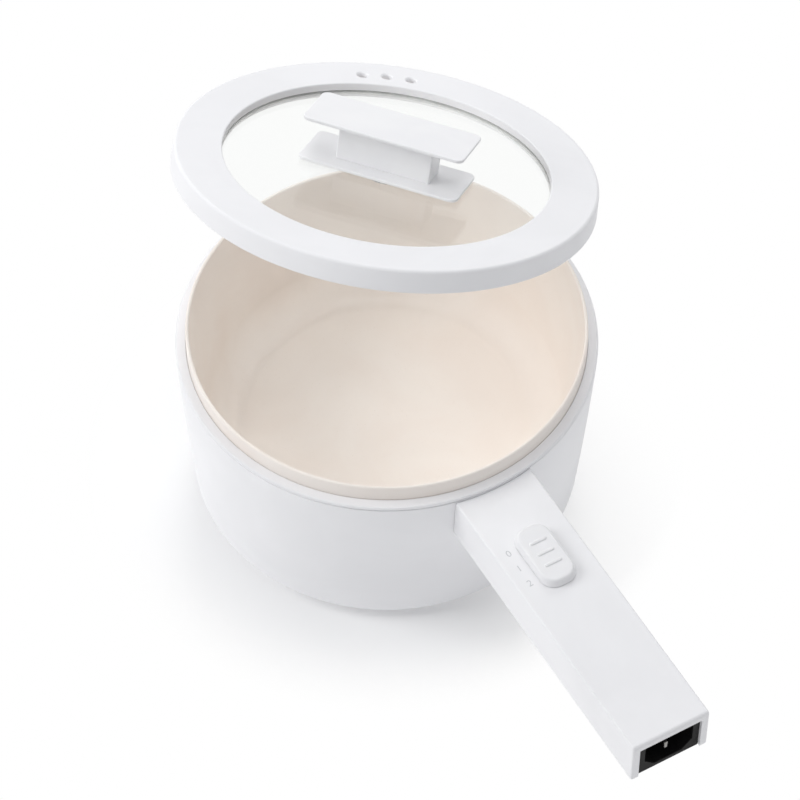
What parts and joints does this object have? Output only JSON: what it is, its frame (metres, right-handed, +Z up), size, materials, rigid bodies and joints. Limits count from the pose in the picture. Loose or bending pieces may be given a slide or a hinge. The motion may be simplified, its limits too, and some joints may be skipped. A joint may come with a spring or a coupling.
{
  "type": "electric saucepan",
  "caption": "Electric saucepan with a straight handle, a slide switch and mains inlet in the handle, and a loose glass lid with a bar knob, held open.",
  "frame": {"origin": "middle of the base at the height of the table, on the pot's axis", "axes": "+X along the handle away from the pot, +Z up along the pot's axis"},
  "size_m": [0.3612, 0.2017, 0.2334],
  "materials": {
    "shell_white": "satin",
    "seal_grey": "matte",
    "pot_coating": "satin ceramic coating",
    "bare_aluminium": "satin",
    "element_steel": "satin",
    "bright_steel": "satin",
    "insulator_ceramic": "matte",
    "switch_black": "satin",
    "foot_rubber": "matte",
    "contact_brass": "satin",
    "pin_metal": "polished",
    "lead_brown": "satin",
    "lead_black": "satin",
    "lead_blue": "satin",
    "lead_green": "satin",
    "lid_glass": "clear",
    "knob_white": "satin"
  },
  "bodies": {
    "pot": {"outer_shell": "shell_white", "top_collar": "shell_white", "rim_seal": "seal_grey", "inner_pot": "pot_coating", "heater_plate": "bare_aluminium", "heating_element": "element_steel", "terminal_insulators": "insulator_ceramic", "thermostat": "switch_black", "thermal_fuse": "insulator_ceramic", "pot_studs": "bright_steel", "shield_spacers": "bright_steel", "heat_shield": "bright_steel", "shield_nuts": "bright_steel", "base_cover": "shell_white", "base_screws": "bright_steel", "rubber_feet": "foot_rubber", "handle_cover": "shell_white", "handle_bottom": "shell_white", "bottom_plate_screws": "bright_steel", "handle_bracket": "bright_steel", "handle_screws": "bright_steel", "inlet_housing": "switch_black", "inlet_pins": "pin_metal", "switch_housing": "switch_black", "switch_contacts": "contact_brass", "switch_screws": "bright_steel", "live_lead": "lead_brown", "switched_lead": "lead_black", "neutral_lead": "lead_blue", "earth_lead": "lead_green"},
    "slider": {"slider_button": "knob_white", "slider_shutter": "shell_white", "switch_wiper": "contact_brass"},
    "lid": {"lid_ring": "shell_white", "lid_glass": "lid_glass", "glass_gasket": "seal_grey", "lid_retainer": "shell_white", "knob_base": "knob_white", "knob_post": "knob_white", "knob_cap": "knob_white", "knob_upper_seal": "seal_grey", "knob_lower_seal": "seal_grey", "knob_washer": "bright_steel", "knob_screw": "bright_steel"}
  },
  "joints": [
    {"name": "lid_swing", "type": "hinge", "parent": "pot", "child": "lid", "pos_m": [-0.15098, 0.16844, 0.0987], "axis": [-0.7394, -0.6681, -0.0833], "range_deg": [-22.78, 10]},
    {"name": "power_slide", "type": "slide", "parent": "pot", "child": "slider", "axis": [1, 0, 0], "range_m": [-0.0092, 0.0092]}
  ]
}
